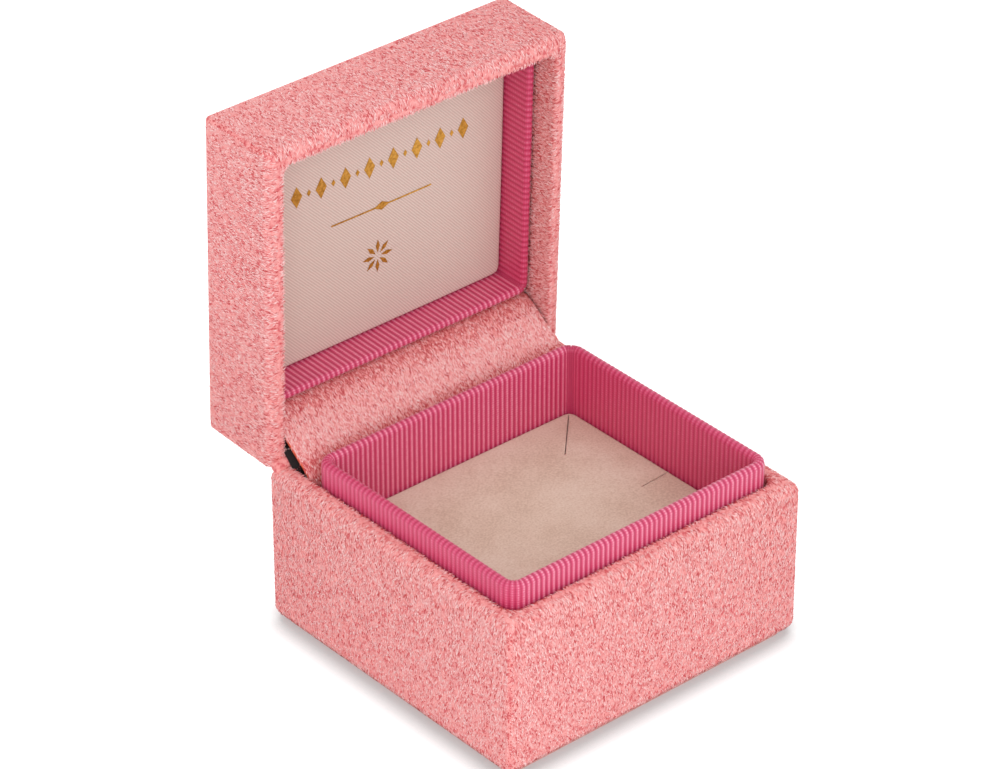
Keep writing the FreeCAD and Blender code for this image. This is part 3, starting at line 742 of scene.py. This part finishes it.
PAD_X = 26.8
PAD_FRONT = -25.3
PAD_REAR = 21.0
PAD_TOP = 22.3
PAD_UNDER = 13.7
bm = bmesh.new()
pad_form(bm, PAD_X, (PAD_REAR - PAD_FRONT) / 2, (PAD_REAR + PAD_FRONT) / 2, radius=1.6, face=PAD_TOP,
         back=PAD_UNDER, crown=0.4)
suede_pad = piece(bm, "suede_pad", suede)

# The slits: one from each side, and one from each rear corner towards the middle
SLIT_WIDTH = 0.15
SLIT_DEPTH = 3.0
slit_ends = [((25.7, 20.1), (16.5, 10.75)), ((26.3, -4.8), (19.8, -5.4))]
bm = bmesh.new()
for start, end in slit_ends:
    for side in (1, -1):
        a = Vector((side * start[0], start[1], PAD_TOP)) * MM
        b = Vector((side * end[0], end[1], PAD_TOP)) * MM
        blade = bmesh.ops.create_cube(bm, size=1)["verts"]
        bmesh.ops.scale(bm, verts=blade, vec=((b - a).length, SLIT_WIDTH * MM, 2 * SLIT_DEPTH * MM))
        bmesh.ops.rotate(bm, verts=blade, matrix=(b - a).to_track_quat("X", "Z").to_matrix())
        bmesh.ops.translate(bm, verts=blade, vec=(a + b) / 2)
blades_mesh = bpy.data.meshes.new("blades")
bm.to_mesh(blades_mesh)
bm.free()
blades = bpy.data.objects.new("blades", blades_mesh)
scene.collection.objects.link(blades)
cut = suede_pad.modifiers.new("slits", "BOOLEAN")
cut.object = blades
slit_mesh = bpy.data.meshes.new_from_object(suede_pad.evaluated_get(bpy.context.evaluated_depsgraph_get()))
suede_pad.modifiers.remove(cut)
suede_pad.data = slit_mesh
bpy.data.objects.remove(blades)
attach(suede_pad, "base")
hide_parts("pad_cloth", "pad_foam")


# The hinge's cover
# A strip of the pile cloth over a blackened spring strip, from behind the collar up into the lid's frame.
# Its ends are cut raw, and show the orange latex that backs the cloth.
hinge = frame["joints"][0]
AXIS = Vector(hinge["pos_m"])
OPEN_ANGLE = math.radians(hinge["range_deg"][1])
opened = Matrix.Translation(AXIS) @ Matrix.Rotation(-OPEN_ANGLE, 4, "X") @ Matrix.Translation(-AXIS)

# Blued spring steel: nearly black, with a dull uneven gleam.
BLUING_CLOUD = 1.4
spring_steel, tree, shader, place = new_material("blackened spring steel", 0.45, Metallic=1)
stain = node(tree, "ShaderNodeTexNoise", {"Vector": place, "Scale": 1 / (BLUING_CLOUD * MM), "Detail": 4})
colour = node(tree, "ShaderNodeValToRGB", {0: stain.outputs[0]}, stops=[(0.3, "#161214"), (0.7, "#2A2224")])
tree.links.new(colour.outputs[0], shader.inputs["Base Color"])

# Latex backing: matt orange red, a little crumbled where the knife went through it.
LATEX_CRUMB = 0.4
latex, tree, shader, place = new_material("orange latex backing", 0.7)
crumbs = node(tree, "ShaderNodeTexNoise", {"Vector": place, "Scale": 1 / (LATEX_CRUMB * MM), "Detail": 3})
colour = node(tree, "ShaderNodeValToRGB", {0: crumbs.outputs[0]},
              stops=[(0.35, "#D2452B"), (0.65, "#EE7A58")])
tree.links.new(colour.outputs[0], shader.inputs["Base Color"])


def rounded(points, radius, steps):
    """A route with its corners rounded."""
    route = [Vector(points[0])]
    for before, corner, after in zip(points, points[1:], points[2:]):
        before, corner, after = Vector(before), Vector(corner), Vector(after)
        start = corner + (before - corner).normalized() * radius
        end = corner + (after - corner).normalized() * radius
        for step in range(steps + 1):
            t = step / steps
            route.append(start * (1 - t) ** 2 + corner * 2 * t * (1 - t) + end * t ** 2)
    return route + [Vector(points[-1])]


def bent_strip(bm, half_width, route, columns):
    """A flat strip laid along a bent route, across the box."""
    rows = len(route) - 1
    bmesh.ops.create_grid(bm, x_segments=columns, y_segments=rows, size=1)
    for vert in bm.verts:
        y, z = route[round((vert.co.y + 1) / 2 * rows)]
        vert.co = Vector((vert.co.x * half_width, y, z)) * MM


COVER_HALF = 29.0
COVER_THICKNESS = 0.6
# Few dark strands in the middle of the cover, as painted light where the lid shades it; more by the folds, as
# painted shade.
COVER_DARK_PAINTED_LIGHT = 0.04
FOLD_PAINTED_SHADE = 0.6
FOLD_BEND = 3.0
BEND_STEPS = 6
LOW_FOLD = Vector((23.7, 30.4))
high_fold = (opened @ (Vector((0, 22.4, 36.2)) * MM)) / MM
tail_end = (opened @ (Vector((0, 22.4, 42.2)) * MM)) / MM
cover_route = rounded([(23.7, 22.0), LOW_FOLD, high_fold.yz, tail_end.yz], FOLD_BEND, BEND_STEPS)
bm = bmesh.new()
bent_strip(bm, COVER_HALF, cover_route, columns=32)
bmesh.ops.subdivide_edges(bm, edges=bm.edges, cuts=1)
hinge_cloth = piece(bm, "hinge_cloth", pile_ground)
hinge_cloth.data.materials.append(latex)
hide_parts("hinge_cover")
cover_solid = glued_sheet(hinge_cloth,
                          thickness=COVER_THICKNESS)
cover_solid.material_offset_rim = 1


def combed_to_collar(root):
    """Down the slope of the cover."""
    return np.tile([0, -1.0, -1.0], (len(root), 1))


def painted_shade_at_folds(root):
    """More dark strands towards the two folds, as painted shade under the lid's frame and by the collar."""
    share = (root[:, 1] - LOW_FOLD.x) / (high_fold.y - LOW_FOLD.x)
    by_low_fold = (0.38 - share) / 0.14
    by_high_fold = (share - 0.68) / 0.3
    return COVER_DARK_PAINTED_LIGHT + FOLD_PAINTED_SHADE * np.clip(np.maximum(by_low_fold, by_high_fold), 0, 1)


def cover_in_sight(root):
    """The cover without its two tucked-in ends."""
    return (root[:, 2] > 26) & (root[:, 1] < 37)


hinge_pile = strands("hinge_pile", hinge_cloth, cover_in_sight, combed_to_collar, seed=4, per_mm2=13,
                     length=0.85, spread=0.3, dark_share=painted_shade_at_folds)
for cloth in (hinge_cloth, hinge_pile):
    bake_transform(cloth)

SPRING_HALF = 25.0
SPRING_THICKNESS = 0.25
spring_low = LOW_FOLD + Vector((0.9, -0.4))
spring_high = high_fold.yz + Vector((0.5, -0.8))
spring_end = tail_end.yz + Vector((0, -0.8))
spring_route = rounded([(24.6, 22.0), spring_low, spring_high, spring_end], FOLD_BEND, BEND_STEPS)
bm = bmesh.new()
bent_strip(bm, SPRING_HALF, spring_route, columns=8)
spring_strip = piece(bm, "spring_strip", spring_steel)
solid = spring_strip.modifiers.new("thickness", "SOLIDIFY")
solid.thickness = SPRING_THICKNESS * MM
solid.offset = -1
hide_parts("hinge_spring_strip")
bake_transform(spring_strip)

# A black sheet lines the fold behind the cover, as painted shade in the hollow there. The covering's own fold
# lies as a roll between the two rims.
SHADE_SHEET_HALF = 29.7
SHADE_SHEET_THICKNESS = 0.15
SHADE_SHEET_BEND = 0.8
SHADE_SHEET_FIBRE = 0.5
# Black, to stand in for the shade in the hollow: painted shade.
black_shade_sheet, tree, shader, place = new_material("black sheet of painted shade", 0.85)
fibre = node(tree, "ShaderNodeTexNoise", {"Vector": place, "Scale": 1 / (SHADE_SHEET_FIBRE * MM), "Detail": 4})
colour = node(tree, "ShaderNodeValToRGB", {0: fibre.outputs[0]}, stops=[(0.35, "#0D0607"), (0.65, "#1E0F11")])
tree.links.new(colour.outputs[0], shader.inputs["Base Color"])
base_edge = Vector((0, 27.6, 30.6))
lid_edge = (opened @ (Vector((0, 27.6, 31.7)) * MM)) / MM
shade_sheet_end = (opened @ (Vector((0, 27.6, 38.0)) * MM)) / MM
shade_sheet_route = rounded([(27.6, 24.0), base_edge.yz, lid_edge.yz, shade_sheet_end.yz], SHADE_SHEET_BEND, 4)
bm = bmesh.new()
bent_strip(bm, SHADE_SHEET_HALF, shade_sheet_route, columns=8)
hinge_shade_sheet = piece(bm, "hinge_shade_sheet", black_shade_sheet)
glued_sheet(hinge_shade_sheet,
            thickness=SHADE_SHEET_THICKNESS)
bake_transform(hinge_shade_sheet)

FOLD_RADIUS = 1.1
FOLD_ENDS = (-32.2, 31.2)
FOLD_END_ROUND = 0.6
bm = bmesh.new()
bmesh.ops.create_cone(bm, cap_ends=True, segments=20, radius1=FOLD_RADIUS * MM, radius2=FOLD_RADIUS * MM,
                      depth=(FOLD_ENDS[1] - FOLD_ENDS[0]) * MM)
ends = [e for e in bm.edges if abs(e.verts[0].co.z - e.verts[1].co.z) < MM]
bmesh.ops.bevel(bm, geom=ends, offset=FOLD_END_ROUND * MM, affect="EDGES", segments=4, profile=0.5,
                material=-1)
bmesh.ops.rotate(bm, verts=bm.verts, matrix=Matrix.Rotation(math.pi / 2, 3, "Y"))
bmesh.ops.translate(bm, verts=bm.verts, vec=(sum(FOLD_ENDS) / 2 * MM, AXIS.y, AXIS.z))
hinge_fold = piece(bm, "hinge_fold", pile_ground)
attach(hinge_fold, "base")
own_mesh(hinge_fold)


# The lid's covering
# The same cloth round the lid's boards, folded over the rim, with a panel of it glued on the top.
# The lid is drawn closed and then opened about the hinge.
LID_RIM = 31.3
bm = bmesh.new()
covering(bm, LID_RIM, 1, tall=17.3, turn_in=7.8, hem_round=0.5, mouth_round=2.2)
lid_cloth = piece(bm, "lid_cloth", pile_ground)
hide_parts("lid_wrap")
glued_sheet(lid_cloth)


def combed_back(root):
    """Away from the rim of the lid, on both sides of it."""
    return combed_over_rim(root, COMB_LEAN)


def lid_wall(root):
    """The walls between the rim and the panel on the top."""
    return (inset_of(root) < 1.2) & (root[:, 2] > LID_RIM + 1.8) & (root[:, 2] < 47.7)


def lid_rim(root):
    """The rim and the turned-in strip inside it."""
    turned_in = (root[:, 2] < LID_RIM + 7.0) & (inset_of(root) > 2.2)
    return (root[:, 2] <= LID_RIM + 2.0) | turned_in


lid_pile = strands("lid_pile", lid_cloth, lid_wall, combed_back, seed=5)
lid_rim_pile = strands("lid_rim_pile", lid_cloth, lid_rim, combed_back, seed=6, dark_share=darker_in_rows)

PANEL_INSET = 0.6
PANEL_UNDER = 48.65
PANEL_EDGE = 48.8
PANEL_ROUND = 0.3
bm = bmesh.new()
panel_rings = []
for inset, z in [(0.0, PANEL_UNDER)] + arc((PANEL_ROUND, PANEL_EDGE), PANEL_ROUND, 180, 90, 4):
    half_x = HALF_X - PANEL_INSET - inset
    half_y = HALF_Y - PANEL_INSET - inset
    panel_rings.append([(*point, z) for point in outline(half_x, -half_y, half_y, CORNER_ROUND - inset)])
top_loop = sleeve(bm, panel_rings)
bmesh.ops.contextual_create(bm, geom=top_loop)
bmesh.ops.recalc_face_normals(bm, faces=bm.faces)
lid_panel = piece(bm, "lid_panel", pile_ground)
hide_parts("lid_top_cover")
glued_sheet(lid_panel)


def panel_face(root):
    """The panel without its edge, which stays bare."""
    return (inset_of(root) > 1.0) & (root[:, 1] < 29.5)


def combed_to_hinge(root):
    """Across the lid's top, towards its rear."""
    return np.tile([0, 1.0, 0.0], (len(root), 1))


lid_panel_pile = strands("lid_panel_pile", lid_panel, panel_face, combed_to_hinge, seed=7)
for cloth in (lid_cloth, lid_pile, lid_rim_pile, lid_panel, lid_panel_pile):
    cloth.data.transform(opened)
    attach(cloth, "lid")


# The lid's frame
# Four strips of card with a narrower ribbed ribbon folded over the edge that faces out of the lid.
FRAME_WALL = 1.6
FRAME_EDGE = 36.2
bm = bmesh.new()
frame_route = folded_over(FRAME_WALL, FRAME_EDGE, -1, outer_end=44.0, inner_end=44.0)
ribbon(bm, x=29.2, front=-27.7, rear=22.0, radius=1.9, ribs=(51, 42, 3), route=frame_route)
frame_ribbon = piece(bm, "lid_frame_ribbon_cover", grosgrain)
frame_ribbon.data.transform(opened)
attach(frame_ribbon, "lid")
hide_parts("lid_frame_ribbon")
glued_sheet(frame_ribbon,
            thickness=RIBBON_THICKNESS)


# The satin pad in the lid
# Cream satin drawn over a thin sheet of foam on a board, set into the frame, with an ornament in gold foil.

# Polyester satin in a fine twill: a soft gleam across slanting lines about 0.4 mm apart.
# A wave node's lines are pi / 5 over its scale apart, measured along x plus y plus z.
TWILL_PITCH = 0.42
satin, tree, shader, place = new_material("cream satin twill", 0.5, Sheen_Weight=0.2, Sheen_Roughness=0.4)
line_scale = math.pi / 5 / (math.sqrt(2) * TWILL_PITCH * MM)
twill = node(tree, "ShaderNodeTexWave", wave_type="BANDS", bands_direction="DIAGONAL",
             links={"Vector": place, "Scale": line_scale, "Distortion": 0.5, "Detail": 1})
colour = node(tree, "ShaderNodeValToRGB", {0: twill.outputs[0]}, stops=[(0.0, "#C6ABA0"), (1.0, "#DFCBC1")])
tree.links.new(colour.outputs[0], shader.inputs["Base Color"])
bumps = node(tree, "ShaderNodeBump", {"Height": twill.outputs[0], "Strength": 0.3, "Distance": 0.05 * MM})
tree.links.new(bumps.outputs[0], shader.inputs["Normal"])

SATIN_X = 27.4
SATIN_FRONT = -25.9
SATIN_REAR = 20.2
SATIN_FACE = 42.1
SATIN_BACK = 45.9
SATIN_CROWN = 0.8
SATIN_HALF_Y = (SATIN_REAR - SATIN_FRONT) / 2
SATIN_MIDDLE = (SATIN_REAR + SATIN_FRONT) / 2
bm = bmesh.new()
pad_form(bm, SATIN_X, SATIN_HALF_Y, SATIN_MIDDLE, radius=1.2, face=SATIN_FACE, back=SATIN_BACK,
         crown=SATIN_CROWN)
satin_pad = piece(bm, "satin_pad", satin)
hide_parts("lid_pad_satin", "lid_pad_foam")

# Gold foil stamped on the satin: a row of lozenges, a short rule and a rosette. Bright, a little worn.
FOIL_GRAIN = 0.5
gold_foil, tree, shader, place = new_material("bronze gold foil", 0.42, Metallic=0.8)
wear_and_highlight = node(tree, "ShaderNodeTexNoise", {"Vector": place, "Scale": 1 / (FOIL_GRAIN * MM), "Detail": 3})
colour = node(tree, "ShaderNodeValToRGB", {0: wear_and_highlight.outputs[0]}, stops=[(0.35, "#A97626"), (0.65, "#D09A42")])
tree.links.new(colour.outputs[0], shader.inputs["Base Color"])


def lozenge(bm, x, y, width, height, turn=0.0):
    """A flat four-cornered stamp."""
    stamp = bmesh.ops.create_circle(bm, cap_ends=True, segments=4, radius=0.5)["verts"]
    bmesh.ops.scale(bm, verts=stamp, vec=(width, height, 1))
    bmesh.ops.rotate(bm, verts=stamp, matrix=Matrix.Rotation(turn, 3, "Z"))
    bmesh.ops.translate(bm, verts=stamp, vec=(x, y, 0))


def rule(bm, x, y, length, width):
    """A thin flat line, cut in short runs so that it follows the pad's crown."""
    line = bmesh.ops.create_grid(bm, x_segments=24, y_segments=1, size=0.5)["verts"]
    bmesh.ops.scale(bm, verts=line, vec=(length, width, 1))
    bmesh.ops.translate(bm, verts=line, vec=(x, y, 0))


LARGE_STAMP = (2.4, 4.2)
SMALL_STAMP = (0.9, 1.4)
STAMP_PITCH = 2.6
PETALS = 8
PETAL_REACH = 2.0
FOIL_LIFT = 0.05
bm = bmesh.new()
for number in range(-7, 8):
    width, height = LARGE_STAMP if number % 2 else SMALL_STAMP
    lozenge(bm, -0.6 + STAMP_PITCH * number, -13.3, width, height)
rule(bm, -0.5, -4.9, length=22.0, width=0.32)
lozenge(bm, -0.5, -4.9, width=3.6, height=1.7)
for number in range(PETALS):
    angle = number * math.tau / PETALS
    x = -1.3 + PETAL_REACH * math.cos(angle)
    y = 4.9 + PETAL_REACH * math.sin(angle)
    lozenge(bm, x, y, width=2.6, height=0.9, turn=angle)
for vert in bm.verts:
    rise = crowned(vert.co.x, vert.co.y - SATIN_MIDDLE, SATIN_X, SATIN_HALF_Y, SATIN_CROWN)
    vert.co = Vector((vert.co.x, vert.co.y, SATIN_FACE - rise - FOIL_LIFT)) * MM
foil = piece(bm, "foil_ornament", gold_foil)
for cloth in (satin_pad, foil):
    cloth.data.transform(opened)
    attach(cloth, "lid")
